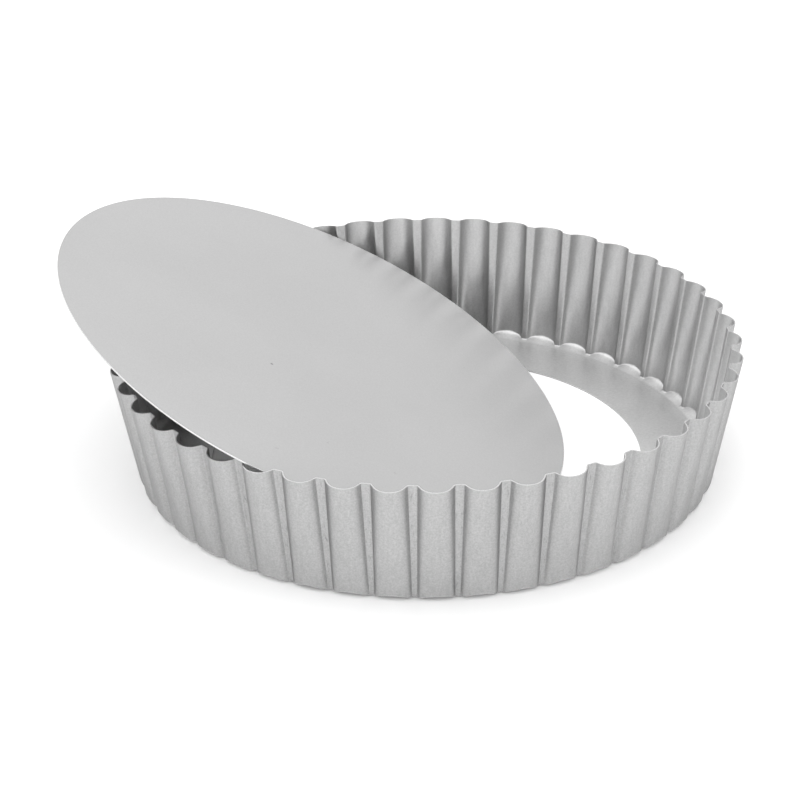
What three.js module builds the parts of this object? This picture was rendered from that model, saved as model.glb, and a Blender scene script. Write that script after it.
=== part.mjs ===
// Fluted tart pan with a loose base. Millimetres, +Z up, standing on the plane z = 0.
// The ring is one pressed sheet: a flared, fluted wall that turns in to a flat ledge round a large hole.
// The base is a flat disc. It leans in the ring: its low edge stands in the hole, its sides rest in the
// wall's flutes, and its high edge reaches out past the rim on the -X side.

import * as THREE from "three";
import { mergeVertices } from "three/addons/utils/BufferGeometryUtils.js";

// Driving dimensions of the ring. Radii are of its outer surface.
const ringHeight = 50;
const crestRimRadius = 122; // flute crests, at the rim
const ribRimRadius = 117.6; // ribs between the flutes, at the rim
const crestFootRadius = 111.8;
const ribFootRadius = 110;
const holeRadius = 84.2;
const sheet = 0.5;
const cornerRise = 1.6; // height of the turn from ledge to wall
const cornerRun = 1.9; // its reach inwards, over the ledge
const crestDip = 0.7; // the rim is this much lower at the crests than at the ribs
const fluteCount = 45;
const ribShare = 0.19; // flat width of a rib, as a share of the pitch

// Driving dimensions of the base.
const baseRadius = 106;
const baseSheet = 0.6;
const baseLean = THREE.MathUtils.degToRad(24.5);
const baseOffset = -42.6; // its centre from the ring's axis, along X
const floorGap = 0.05; // under the base's lowest edge

// Fineness of the mesh.
const crestSteps = 6; // chords over each flute's crest
const baseSides = 96;

// The object's middle, not the ring's axis, is the origin.
const highReach = baseRadius * Math.cos(baseLean) + (baseSheet / 2) * Math.sin(baseLean) - baseOffset;
const pitch = (2 * Math.PI) / fluteCount;
const crestReach = crestRimRadius * Math.cos(pitch / 2);
const ringCentre = (highReach - crestReach) / 2;

const tinnedSteel = new THREE.MeshStandardMaterial({ color: 0xc4c4c2, roughness: 0.42, metalness: 1 });
const satinSteel = new THREE.MeshStandardMaterial({ color: 0xcbcbca, roughness: 0.5, metalness: 1 });

// Radius of the rib line, and depth of the flutes outside it, at a height up the wall.
function ribRadius(height) {
  return THREE.MathUtils.lerp(ribFootRadius, ribRimRadius, height / ringHeight);
}

function fluteDepth(height) {
  const foot = crestFootRadius - ribFootRadius;
  return THREE.MathUtils.lerp(foot, crestRimRadius - ribRimRadius, height / ringHeight);
}

// The closed section at a rib: the hole's edge, underside, outer wall, rim, inner wall, top of the ledge.
function ribSection() {
  const foot = ribFootRadius - cornerRun;
  const innerTurn = cornerRise + sheet / 2;
  return [
    [holeRadius, 0],
    [foot, 0],
    [ribRadius(cornerRise), cornerRise],
    [ribRadius(ringHeight), ringHeight],
    [ribRadius(ringHeight) - sheet, ringHeight],
    [ribRadius(innerTurn) - sheet, innerTurn],
    [foot - sheet / 2, sheet],
    [holeRadius, sheet],
    [holeRadius, 0],
  ].map(([radius, height]) => new THREE.Vector2(radius, height));
}

// A flute's crest is half an ellipse between two ribs. Its steps run from one rib's edge to the next.
// Inside, the ellipse is narrower by one sheet at each end.
function crestPoint(step, onInside, rimPitch) {
  const turn = (Math.PI * step) / crestSteps;
  const edgeShare = onInside ? sheet / rimPitch : 0;
  const halfWidth = 0.5 - ribShare / 2 - edgeShare;
  return { share: 0.5 - halfWidth * Math.cos(turn), rise: Math.sin(turn) };
}

// Moves every vertex of the spun section, apart from the hole's edge, out to the fluted surface.
function flute(geometry) {
  const place = geometry.getAttribute("position");
  const stepsPerFlute = crestSteps + 1;
  const stepAngle = pitch / stepsPerFlute;
  for (let i = 0; i < place.count; i += 1) {
    const [x, y, z] = [place.getX(i), place.getY(i), place.getZ(i)];
    const radius = Math.hypot(x, y);
    if (radius > holeRadius + sheet) {
      const turned = Math.atan2(y, x) + 2 * Math.PI;
      const index = Math.round(turned / stepAngle);
      const onInside = radius < ribRadius(z) - sheet / 2 && z > 0;
      const point = crestPoint(index % stepsPerFlute, onInside, radius * pitch);
      const angle = (Math.floor(index / stepsPerFlute) + point.share) * pitch;
      const outwards = radius + point.rise * fluteDepth(z);
      const dip = z === ringHeight ? point.rise * crestDip : 0;
      place.setXYZ(i, outwards * Math.cos(angle), outwards * Math.sin(angle), z - dip);
    }
  }
}

function flutedRing() {
  const spun = new THREE.LatheGeometry(ribSection(), fluteCount * (crestSteps + 1));
  spun.rotateX(Math.PI / 2);
  spun.deleteAttribute("normal");
  spun.deleteAttribute("uv");
  const geometry = mergeVertices(spun, 1e-3);
  flute(geometry);
  geometry.computeVertexNormals();
  const ring = new THREE.Mesh(geometry, tinnedSteel);
  ring.name = "fluted_ring";
  ring.position.x = ringCentre;
  return ring;
}

function looseBase() {
  const geometry = new THREE.CylinderGeometry(baseRadius, baseRadius, baseSheet, baseSides);
  geometry.rotateX(Math.PI / 2);
  const base = new THREE.Mesh(geometry, satinSteel);
  base.name = "loose_base";
  base.rotation.y = baseLean;
  base.position.x = ringCentre + baseOffset;
  base.position.z = floorGap + baseRadius * Math.sin(baseLean) + (baseSheet / 2) * Math.cos(baseLean);
  return base;
}

const pan = new THREE.Group();
pan.add(flutedRing(), looseBase());

export default pan;
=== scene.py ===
import math
import random

import bmesh
import bpy
from mathutils import Matrix, Quaternion, Vector
from mathutils.geometry import interpolate_bezier


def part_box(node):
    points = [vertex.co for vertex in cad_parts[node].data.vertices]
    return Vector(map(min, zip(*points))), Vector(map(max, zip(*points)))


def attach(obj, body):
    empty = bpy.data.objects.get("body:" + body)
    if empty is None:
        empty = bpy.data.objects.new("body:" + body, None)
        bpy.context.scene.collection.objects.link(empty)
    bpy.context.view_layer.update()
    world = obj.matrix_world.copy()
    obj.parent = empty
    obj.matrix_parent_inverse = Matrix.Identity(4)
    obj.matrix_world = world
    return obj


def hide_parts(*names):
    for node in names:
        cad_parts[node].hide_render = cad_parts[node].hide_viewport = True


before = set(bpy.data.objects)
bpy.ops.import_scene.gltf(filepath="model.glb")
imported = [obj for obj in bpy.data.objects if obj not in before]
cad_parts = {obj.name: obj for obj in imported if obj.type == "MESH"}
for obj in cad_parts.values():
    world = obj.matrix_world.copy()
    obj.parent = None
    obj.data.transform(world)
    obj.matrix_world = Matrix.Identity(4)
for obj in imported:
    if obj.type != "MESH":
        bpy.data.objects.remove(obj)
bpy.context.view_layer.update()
ringLow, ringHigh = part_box("fluted_ring")
baseLow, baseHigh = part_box("loose_base")
print("frame loaded:", sorted(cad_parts))

scene = bpy.context.scene
mm = 0.001

camera = {
    "azimuth": 5.05,  # degrees round from the front, towards +X
    "elevation": 26.87,
    "range": 1.067,
    "aim": (-0.0023, 0.0090, 0.0190),  # a point on the line of sight
    "roll": 0.77,
    "lens": 121.98,
}


def makeCamera():
    turn, rise = math.radians(camera["azimuth"]), math.radians(camera["elevation"])
    back = Vector((math.sin(turn) * math.cos(rise), -math.cos(turn) * math.cos(rise), math.sin(rise)))
    data = bpy.data.cameras.new("camera")
    data.lens = camera["lens"]
    viewer = bpy.data.objects.new("camera", data)
    viewer.location = Vector(camera["aim"]) + back * camera["range"]
    viewer.rotation_mode = "QUATERNION"
    level = (-back).to_track_quat("-Z", "Y")
    viewer.rotation_quaternion = Quaternion(-back, math.radians(camera["roll"])) @ level
    scene.collection.objects.link(viewer)
    scene.camera = viewer


makeCamera()
print("camera placed")


def newPiece(name, mesh, work, materials):
    # Turns the finished bmesh into an object at the origin, smooth shaded.
    for face in work.faces:
        face.smooth = True
    work.to_mesh(mesh)
    work.free()
    for material in materials:
        mesh.materials.append(material)
    piece = bpy.data.objects.new(name, mesh)
    scene.collection.objects.link(piece)
    return piece


def spinProfile(work, profile, steps):
    # Turns a line of points, in the x-z plane, right round the z axis.
    chain = [work.verts.new(point) for point in profile]
    edges = [work.edges.new(pair) for pair in zip(chain, chain[1:])]
    bmesh.ops.spin(
        work, geom=chain + edges, cent=(0, 0, 0), axis=(0, 0, 1), angle=2 * math.pi,
        steps=steps, use_merge=True, use_normal_flip=False, use_duplicate=False,
    )


cutEdges = {
    "segments": 2,
    "angle": 55,  # degrees: an edge that turns more than this is a cut edge
}


def giveSheet(piece, thickness, side, cutBevel):
    # Thickens a surface to sheet metal and bevels its cut edges. The piece's materials are, in order,
    # those of the surface, of its other face and of the cut edges.
    thick = piece.modifiers.new("sheet", "SOLIDIFY")
    thick.thickness = thickness
    thick.offset = side
    thick.use_even_offset = True
    thick.material_offset = 1
    thick.material_offset_rim = 2
    cut = piece.modifiers.new("cutEdges", "BEVEL")
    cut.width = cutBevel
    cut.segments = cutEdges["segments"]
    cut.limit_method = "ANGLE"
    cut.angle_limit = math.radians(cutEdges["angle"])
    cut.harden_normals = True


def mix(low, high, share):
    return low + (high - low) * share


def clamp(value):
    return min(max(value, 0.0), 1.0)


def around(middle, reach):
    return middle - reach, middle + reach


class NodeSheet:
    # A material's node tree, with one short call for each kind of node.
    def __init__(self, name):
        self.material = bpy.data.materials.new(name)
        self.material.use_nodes = True
        self.nodes = self.material.node_tree.nodes
        self.links = self.material.node_tree.links
        self.shader = self.nodes["Principled BSDF"]
        self.coordinates = self.nodes.new("ShaderNodeTexCoord").outputs["Object"]

    def plug(self, source, socket):
        self.links.new(source, socket)

    def stretched(self, scale):
        mapping = self.nodes.new("ShaderNodeMapping")
        mapping.inputs["Scale"].default_value = scale
        self.plug(self.coordinates, mapping.inputs["Vector"])
        return mapping.outputs["Vector"]

    def noise(self, scale, detail=2.0, roughness=0.5, vector=None):
        node = self.nodes.new("ShaderNodeTexNoise")
        node.inputs["Scale"].default_value = scale
        node.inputs["Detail"].default_value = detail
        node.inputs["Roughness"].default_value = roughness
        self.plug(vector or self.coordinates, node.inputs["Vector"])
        return node.outputs["Fac"]

    def distanceFrom(self, place):
        node = self.nodes.new("ShaderNodeVectorMath")
        node.operation = "DISTANCE"
        node.inputs[1].default_value = place
        self.plug(self.coordinates, node.inputs[0])
        return node.outputs["Value"]

    def band(self, value, start, end):
        # Eases the values between the two of start into those of end.
        node = self.nodes.new("ShaderNodeMapRange")
        node.interpolation_type = "SMOOTHSTEP"
        node.inputs["From Min"].default_value, node.inputs["From Max"].default_value = start
        node.inputs["To Min"].default_value, node.inputs["To Max"].default_value = end
        self.plug(value, node.inputs["Value"])
        return node.outputs["Result"]

    def maths(self, operation, first, second):
        node = self.nodes.new("ShaderNodeMath")
        node.operation = operation
        for socket, value in zip(node.inputs, (first, second)):
            if isinstance(value, (int, float)):
                socket.default_value = value
            else:
                self.plug(value, socket)
        return node.outputs["Value"]

    def attribute(self, name):
        node = self.nodes.new("ShaderNodeAttribute")
        node.attribute_name = name
        return node.outputs["Fac"]

    def grey(self, value):
        node = self.nodes.new("ShaderNodeCombineColor")
        for socket in node.inputs:
            self.plug(value, socket)
        return node.outputs["Color"]

    def bump(self, height, strength, distance):
        node = self.nodes.new("ShaderNodeBump")
        node.inputs["Strength"].default_value = strength
        node.inputs["Distance"].default_value = distance
        self.plug(height, node.inputs["Height"])
        return node.outputs["Normal"]


ring = {
    "flutes": 45,
    "rimCrest": 122 * mm,  # radii are of the outer surface
    "rimRib": 117.6 * mm,
    "footCrest": 112.4 * mm,
    "footRib": 110.2 * mm,
    "hole": 84.2 * mm,
    "ledgeEnd": 108.2 * mm,
    "cornerReach": (0.62, 0.5),  # how long the corner stays near the ledge, and near the wall
    "cornerStart": 22,  # degrees of its first slope
    "height": ringHigh.z - ringLow.z,
    "sheet": 0.5 * mm,
    "ribTurn": 1.5 * mm,  # height of the turn from ledge to wall, at a rib and at a crest
    "crestTurn": 3.4 * mm,
    "rimDip": 0.7 * mm,  # how much lower the rim is at the crests
    "rimOutline": {  # half a flute in plan
        "ribHalf": 1.22 * mm,  # half of the rib's flat
        "fold": 0.75 * mm,  # radius of the fold beside it
        "steepest": 60,  # degrees, where the fold meets the flank
        "sides": 0.5,  # how long the curve keeps to the flank's slope
        "crown": 0.56,  # and to the crest's
    },
    "footOutline": {
        "ribHalf": 0.62 * mm,
        "fold": 0.5 * mm,
        "steepest": 56,
        "sides": 0.5,
        "crown": 0.8,
    },
    "foldSteps": 4,
    "crestSteps": 8,
    "ledgeRows": 5,
    "cornerRows": 9,
    "wallRows": 10,
    "unevenness": 0.12 * mm,
    "cutBevel": 0.06 * mm,
    "cutGrey": 0.5,
    "seed": 7,
    "shade": {  # painted shade from place to place, from 0 (none) to 1 (darkest), and where the rib scuffs end
        "wallFrom": 1.5 * mm,  # height where the wall's shade starts to replace the corner's
        "wallOver": 3 * mm,  # and the height it takes to do so
        "foldFrom": 0.05,  # rise where a fold's painted shade is darkest
        "foldFade": 0.7,  # power of the fade from there to the crest
        "pocket": 0.55,  # how much less painted shade the corner has in the middle of a flute: a painted highlight
        # painted shade on the ledge
        "ledge": 0.7,
        "ledgeFade": 6,  # how quickly the ledge's shade ends, up the corner
        "ribEnd": 0.04,  # rise where the scuffs on a rib end
    },
}
ringAxis = ringLow.x + ring["rimCrest"]  # a crest points along -X, so the box ends there
halfSteps = 1 + ring["foldSteps"] + ring["crestSteps"]
fluteSteps = 2 * halfSteps
roundSteps = ring["flutes"] * fluteSteps
pitch = 2 * math.pi / ring["flutes"]


def halfOutline(shape, ribRadius, depth):
    # From the middle of a rib to the middle of a crest, in plan: share of the pitch, and rise from 0 to 1.
    halfPitch = math.pi * ribRadius / ring["flutes"]
    steepest = math.radians(shape["steepest"])
    fold = shape["fold"]
    points = [(0.0, 0.0)]
    for step in range(ring["foldSteps"] + 1):
        turn = steepest * step / ring["foldSteps"]
        points.append((shape["ribHalf"] + fold * math.sin(turn), fold * (1 - math.cos(turn))))
    start = Vector(points[-1])
    crest = Vector((halfPitch, depth))
    handle = shape["sides"] * (crest.y - start.y) / math.sin(steepest)
    leave = start + Vector((math.cos(steepest), math.sin(steepest))) * handle
    arrive = crest - Vector((shape["crown"] * (crest.x - start.x), 0))
    curve = interpolate_bezier(start, leave, arrive, crest, ring["crestSteps"] + 1)
    points += [(point.x, point.y) for point in curve[1:]]
    return [(along / (2 * halfPitch), out / depth) for along, out in points]


def section(footRadius, rimRadius, turn, dip):
    # The outer surface in elevation: along the ledge from the hole, round the corner, and up the wall.
    top = ring["height"] - dip
    ledgeEnd = Vector((ring["ledgeEnd"], 0))
    wallStart = Vector((mix(footRadius, rimRadius, turn / ring["height"]), turn))
    wallLine = (Vector((rimRadius, ring["height"])) - Vector((footRadius, 0))).normalized()
    flatReach, wallReach = ring["cornerReach"]
    slope = Vector((1, math.tan(math.radians(ring["cornerStart"]))))
    leave = ledgeEnd + slope * flatReach * (wallStart.x - ledgeEnd.x)
    arrive = wallStart - wallLine * wallReach * turn
    corner = interpolate_bezier(ledgeEnd, leave, arrive, wallStart, ring["cornerRows"] + 1)
    ledge = [row / ring["ledgeRows"] for row in range(ring["ledgeRows"])]
    points = [(mix(ring["hole"], ring["ledgeEnd"], share), 0.0) for share in ledge]
    points += [(point.x, point.y) for point in corner]
    for row in range(1, ring["wallRows"] + 1):
        height = mix(turn, top, row / ring["wallRows"])
        points.append((mix(footRadius, rimRadius, height / ring["height"]), height))
    return points


def fluteRing(work):
    # Moves the spun rows, one millimetre apart in z, on to the fluted wall and the ledge.
    # Each flute is a little unlike the next, as pressed sheet is.
    chance = random.Random(ring["seed"])
    uneven = ring["unevenness"]
    ribPush = [chance.uniform(-uneven, uneven) for _ in range(ring["flutes"])]
    crestPush = [chance.uniform(-uneven, 0.0) for _ in range(ring["flutes"])]
    crestDrop = [chance.uniform(0.0, uneven) for _ in range(ring["flutes"])]
    ribSection = section(ring["footRib"], ring["rimRib"], ring["ribTurn"], 0.0)
    crestSection = section(ring["footCrest"], ring["rimCrest"], ring["crestTurn"], ring["rimDip"])
    flankSection = section(ring["footCrest"], ring["rimCrest"], ring["ribTurn"], ring["rimDip"])
    rimHalf = halfOutline(ring["rimOutline"], ring["rimRib"], ring["rimCrest"] - ring["rimRib"])
    footHalf = halfOutline(ring["footOutline"], ring["footRib"], ring["footCrest"] - ring["footRib"])
    # layers of painted shade, of a painted highlight along the foot, and of scuffs on the ribs
    outsideShade = work.verts.layers.float.new("outsideShade")
    insideShade = work.verts.layers.float.new("insideShade")
    ribWear = work.verts.layers.float.new("ribWear")
    footPaintedHighlight = work.verts.layers.float.new("footPaintedHighlight")
    shade = ring["shade"]
    stepAngle = pitch / fluteSteps
    for vert in work.verts:
        row = round(vert.co.z / mm)
        index = round((math.atan2(vert.co.y, vert.co.x) % (2 * math.pi)) / stepAngle)
        flute, step = divmod(index % roundSteps, fluteSteps)
        mirrored = step > halfSteps
        half = fluteSteps - step if mirrored else step
        middle = (half / halfSteps) ** 2  # 0 at a rib, 1 in the middle of a flute
        rib = Vector(ribSection[row])
        crest = Vector(flankSection[row]).lerp(Vector(crestSection[row]), middle)
        up = min(rib.y / ring["height"], 1.0)
        share = mix(footHalf[half][0], rimHalf[half][0], up)
        rise = mix(footHalf[half][1], rimHalf[half][1], up)
        nextRib = (flute + 1) % ring["flutes"] if step >= halfSteps else flute
        place = rib.lerp(crest, rise)
        place.x += up * mix(ribPush[nextRib], crestPush[flute], rise)
        place.y -= up * crestDrop[flute] * rise
        angle = (flute + (1 - share if mirrored else share)) * pitch
        vert.co = (ringAxis + place.x * math.cos(angle), place.x * math.sin(angle), place.y)
        onWall = clamp((place.y - shade["wallFrom"]) / shade["wallOver"])
        inCorner = clamp((row - ring["ledgeRows"]) / ring["cornerRows"])
        # painted shade in the folds beside the ribs
        foldShade = onWall * clamp(rise / shade["foldFrom"]) * clamp(1 - rise) ** shade["foldFade"]
        vert[outsideShade] = foldShade
        # painted shade in the inside corner, with a painted highlight in the middle of each flute, fading
        # into painted shade on the ledge
        cornerShade = (1 - shade["pocket"] * middle) * (1 - onWall)
        offLedge = clamp(shade["ledgeFade"] * inCorner)
        vert[insideShade] = mix(shade["ledge"], max(foldShade, cornerShade), offLedge)
        vert[footPaintedHighlight] = 4 * inCorner * (1 - inCorner)  # painted highlight along the foot, most in the middle of the corner
        vert[ribWear] = onWall * clamp(1 - rise / shade["ribEnd"])


def makeRing(materials):
    mesh = bpy.data.meshes.new("ringSheet")
    work = bmesh.new()
    rows = ring["ledgeRows"] + ring["cornerRows"] + 1 + ring["wallRows"]
    spinProfile(work, [(ring["hole"], 0, row * mm) for row in range(rows)], roundSteps)
    fluteRing(work)
    bmesh.ops.recalc_face_normals(work, faces=work.faces)
    outermost = max(work.faces, key=lambda face: face.calc_center_median().x)
    if outermost.normal.x < 0:
        bmesh.ops.reverse_faces(work, faces=work.faces)
    piece = newPiece("pressed_ring", mesh, work, materials)
    giveSheet(piece, ring["sheet"], -1, ring["cutBevel"])  # inwards
    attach(piece, "ring")
    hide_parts("fluted_ring")
    return piece


base = {
    "radius": 106 * mm,
    "sheet": 0.6 * mm,
    "lean": 24.5,  # degrees, its normal turned towards +X
    "rings": (0, 12, 34, 56, 76, 92, 101, 104.5, 106),  # millimetres out from its middle
    "steps": 288,
    "mergeWithin": 0.001 * mm,
    "warp": 0.06 * mm,
    "warpTurn": 0.6,  # radians, the phase of its two waves
    "cutBevel": 0.1 * mm,
    "cutGrey": 0.74,
    "chip": (-47.6 * mm, -26.4 * mm, 50.9 * mm),  # one small dark chip in the tin
    "chipRadius": 0.75 * mm,
}


def makeBase(materials):
    mesh = bpy.data.meshes.new("baseSheet")
    work = bmesh.new()
    spinProfile(work, [(radius * mm, 0, 0) for radius in base["rings"]], base["steps"])
    bmesh.ops.remove_doubles(work, verts=work.verts, dist=base["mergeWithin"])
    for vert in work.verts:  # a stamped disc is never quite flat
        out = math.hypot(vert.co.x, vert.co.y) / base["radius"]
        angle = math.atan2(vert.co.y, vert.co.x)
        vert.co.z += base["warp"] * out * out * math.sin(2 * angle + base["warpTurn"])
    bmesh.ops.recalc_face_normals(work, faces=work.faces)
    if work.faces[0].normal.z < 0:
        bmesh.ops.reverse_faces(work, faces=work.faces)
    lean = Matrix.Rotation(math.radians(base["lean"]), 4, "Y")
    place = Matrix.Translation((baseLow + baseHigh) / 2) @ lean
    bmesh.ops.transform(work, matrix=place, verts=work.verts)
    piece = newPiece("stamped_base", mesh, work, materials)
    giveSheet(piece, base["sheet"], 0, base["cutBevel"])  # half to each side
    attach(piece, "base")
    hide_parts("loose_base")
    return piece


# The ring is one tinned sheet: the inside's much lighter grey than the outside's is painted light.
outsideFinish = {
    "grey": 0.452,
    "metallic": 0.8,
    "greyGrain": 0.06,
    "roughness": 0.41,
    "grainScale": 1500,
    "grainDepth": 0.03 * mm,
    "grazingTint": 0.5,  # tin looks darker at a grazing angle
    # darkest painted shade in the folds
    "shadeDarkest": 0.97,
    "scuffDarkest": 0.7,
    "footBrightest": 1.5,  # painted highlight along the foot's corner, lightening its dark reflection
}
insideFinish = {
    "grey": 0.675,
    "metallic": 0.92,
    "greyGrain": 0.045,
    "roughness": 0.38,
    "grainScale": 1300,
    "grainDepth": 0.02 * mm,
    "grazingTint": 0.55,
    # darkest painted shade in the folds, the corner and on the ledge
    "shadeDarkest": 0.76,
    "scuffDarkest": 0.9,
    "footBrightest": 1.0,
}
topFinish = {
    "grey": 0.487,
    "metallic": 0.55,  # satin: part of its sheen is nearly diffuse
    "roughness": 0.258,
    "grainScale": 1500,
    "grainDepth": 0.004 * mm,
    "grazingTint": 0.9,
}
# The disc's underside is given a darker grey than its top: painted shade under the disc.
undersideFinishAndPaintedShade = {
    "grey": 0.3,
    "metallic": 1.0,
    "roughness": 0.4,
    "grainScale": 1100,
    "grainDepth": 0.01 * mm,
    "grazingTint": 0.7,
}
noiseSpread = (0.3, 0.7)  # most of a noise's values lie between these
grainSpread = (0.25, 0.75)
whole = (0.0, 1.0)  # the range of the ring's painted shade, painted highlight and rib scuffs
ringMarks = {
    "drawStretch": (700, 700, 60),  # fine across the wall, long up it
    "drawTones": (0.965, 1.03),
    "cloudScale": 28,
    "cloudTones": (0.97, 1.03),
    "scuffStretch": (1700, 1700, 260),
    "scuffSpread": (0.52, 0.7),
    "cloudRoughness": 0.04,
    "grainRoughness": 0.03,
    "bump": 0.6,
}
baseMarks = {
    "greyGrain": 0.015,
    "cloudScale": 16,
    "cloudTones": (0.985, 1.015),
    "nickScale": 170,
    "nickSpread": (0.74, 0.79),
    "nickTones": (1.0, 0.86),
    "chipCore": 0.3,  # share of the chip's radius that is darkest
    "chipTones": (0.4, 1.0),
    "cloudRoughness": 0.013,
    "bump": 0.4,
}
cutMarks = {
    "burrScale": 1800,
    "darker": 0.07,
    "lighter": 0.05,
    "roughness": (0.36, 0.46),
}


def ringSteel(name, finish, shadeLayer):
    # Pressed and tinned sheet: sandy grain, draw marks up the wall, painted shade from a layer (folds, and
    # inside the corner and ledge), a painted highlight along the foot, and scuffs on the ribs.
    marks = ringMarks
    sheet = NodeSheet(name)
    sheet.shader.inputs["Metallic"].default_value = finish["metallic"]
    sheet.shader.inputs["Specular Tint"].default_value = (*[finish["grazingTint"]] * 3, 1)
    grain = sheet.noise(finish["grainScale"], detail=3.0, roughness=0.65)
    drawMarks = sheet.noise(1.0, detail=3.0, roughness=0.6, vector=sheet.stretched(marks["drawStretch"]))
    cloud = sheet.noise(marks["cloudScale"], detail=3.0, roughness=0.5)
    scuff = sheet.noise(1.0, detail=4.0, roughness=0.7, vector=sheet.stretched(marks["scuffStretch"]))
    scuff = sheet.band(scuff, marks["scuffSpread"], whole)
    scuff = sheet.maths("MULTIPLY", scuff, sheet.attribute("ribWear"))
    tone = sheet.band(grain, grainSpread, around(finish["grey"], finish["greyGrain"]))
    for part in (
        sheet.band(drawMarks, noiseSpread, marks["drawTones"]),
        sheet.band(cloud, noiseSpread, marks["cloudTones"]),
        # painted shade from the layer
        sheet.band(sheet.attribute(shadeLayer), whole, (1.0, finish["shadeDarkest"])),
        sheet.band(scuff, whole, (1.0, finish["scuffDarkest"])),
        # painted highlight along the foot
        sheet.band(sheet.attribute("footPaintedHighlight"), whole, (1.0, finish["footBrightest"])),
    ):
        tone = sheet.maths("MULTIPLY", tone, part)
    sheet.plug(sheet.grey(tone), sheet.shader.inputs["Base Color"])
    rough = sheet.band(cloud, noiseSpread, around(finish["roughness"], marks["cloudRoughness"]))
    grainRough = sheet.band(grain, noiseSpread, around(0.0, marks["grainRoughness"]))
    rough = sheet.maths("ADD", rough, grainRough)
    sheet.plug(rough, sheet.shader.inputs["Roughness"])
    sheet.plug(sheet.bump(grain, marks["bump"], finish["grainDepth"]), sheet.shader.inputs["Normal"])
    return sheet.material


def baseSteel(name, finish):
    # Flat satin sheet: fine grain, faint clouds and nicks, and one chip.
    marks = baseMarks
    sheet = NodeSheet(name)
    sheet.shader.inputs["Metallic"].default_value = finish["metallic"]
    sheet.shader.inputs["Specular Tint"].default_value = (*[finish["grazingTint"]] * 3, 1)
    grain = sheet.noise(finish["grainScale"], detail=2.0, roughness=0.5)
    cloud = sheet.noise(marks["cloudScale"], detail=3.0, roughness=0.5)
    nick = sheet.noise(marks["nickScale"], detail=3.0, roughness=0.6)
    chipEdge = (marks["chipCore"] * base["chipRadius"], base["chipRadius"])
    tone = sheet.band(grain, grainSpread, around(finish["grey"], marks["greyGrain"]))
    for part in (
        sheet.band(cloud, noiseSpread, marks["cloudTones"]),
        sheet.band(nick, marks["nickSpread"], marks["nickTones"]),
        sheet.band(sheet.distanceFrom(base["chip"]), chipEdge, marks["chipTones"]),
    ):
        tone = sheet.maths("MULTIPLY", tone, part)
    sheet.plug(sheet.grey(tone), sheet.shader.inputs["Base Color"])
    rough = sheet.band(cloud, noiseSpread, around(finish["roughness"], marks["cloudRoughness"]))
    sheet.plug(rough, sheet.shader.inputs["Roughness"])
    sheet.plug(sheet.bump(grain, marks["bump"], finish["grainDepth"]), sheet.shader.inputs["Normal"])
    return sheet.material


def cutSteel(name, grey):
    # Sheared edges: bare metal with a fine burr.
    marks = cutMarks
    sheet = NodeSheet(name)
    sheet.shader.inputs["Metallic"].default_value = 1.0
    burr = sheet.noise(marks["burrScale"], detail=2.0, roughness=0.5)
    tone = sheet.band(burr, noiseSpread, (grey - marks["darker"], grey + marks["lighter"]))
    sheet.plug(sheet.grey(tone), sheet.shader.inputs["Base Color"])
    sheet.plug(sheet.band(burr, noiseSpread, marks["roughness"]), sheet.shader.inputs["Roughness"])
    return sheet.material


makeRing([
    ringSteel("ringOutside", outsideFinish, "outsideShade"),
    ringSteel("ringInside", insideFinish, "insideShade"),
    cutSteel("ringCutEdge", ring["cutGrey"]),
])
print("ring made")
makeBase([
    baseSteel("baseTop", topFinish),
    baseSteel("baseUnderside", undersideFinishAndPaintedShade),
    cutSteel("baseCutEdge", base["cutGrey"]),
])
print("base made")

studio = {
    "floorHalf": 6.0,
    "floorGrey": 0.96,
    "floorRoughness": 0.9,
    "floorSpecular": 0.1,
    "skyStrength": 0.95,
    "softboxes": (  # place, size and power of each, all turned to the pan
        ((-0.1, -0.1, 1.6), 4.5, 46.0),
        ((0.1, -1.9, 0.75), 1.6, 2.4),
    ),
}


def makeFloor():
    mesh = bpy.data.meshes.new("floor")
    work = bmesh.new()
    bmesh.ops.create_grid(work, x_segments=1, y_segments=1, size=studio["floorHalf"])
    work.to_mesh(mesh)
    work.free()
    material = bpy.data.materials.new("paleFloor")
    material.use_nodes = True
    shader = material.node_tree.nodes["Principled BSDF"]
    shader.inputs["Base Color"].default_value = (*[studio["floorGrey"]] * 3, 1)
    shader.inputs["Roughness"].default_value = studio["floorRoughness"]
    shader.inputs["Specular IOR Level"].default_value = studio["floorSpecular"]
    mesh.materials.append(material)
    floor = bpy.data.objects.new("floor", mesh)
    scene.collection.objects.link(floor)


def makeLight():
    world = bpy.data.worlds.new("studio")
    world.use_nodes = True
    world.node_tree.nodes["Background"].inputs["Color"].default_value = (1, 1, 1, 1)
    world.node_tree.nodes["Background"].inputs["Strength"].default_value = studio["skyStrength"]
    scene.world = world
    for place, size, power in studio["softboxes"]:
        data = bpy.data.lights.new("softbox", "AREA")
        data.size = size
        data.energy = power
        softbox = bpy.data.objects.new("softbox", data)
        softbox.location = place
        softbox.rotation_mode = "QUATERNION"
        softbox.rotation_quaternion = (-softbox.location).to_track_quat("-Z", "Y")
        scene.collection.objects.link(softbox)


makeFloor()
makeLight()
scene.view_settings.view_transform = "Standard"
print("studio lit")
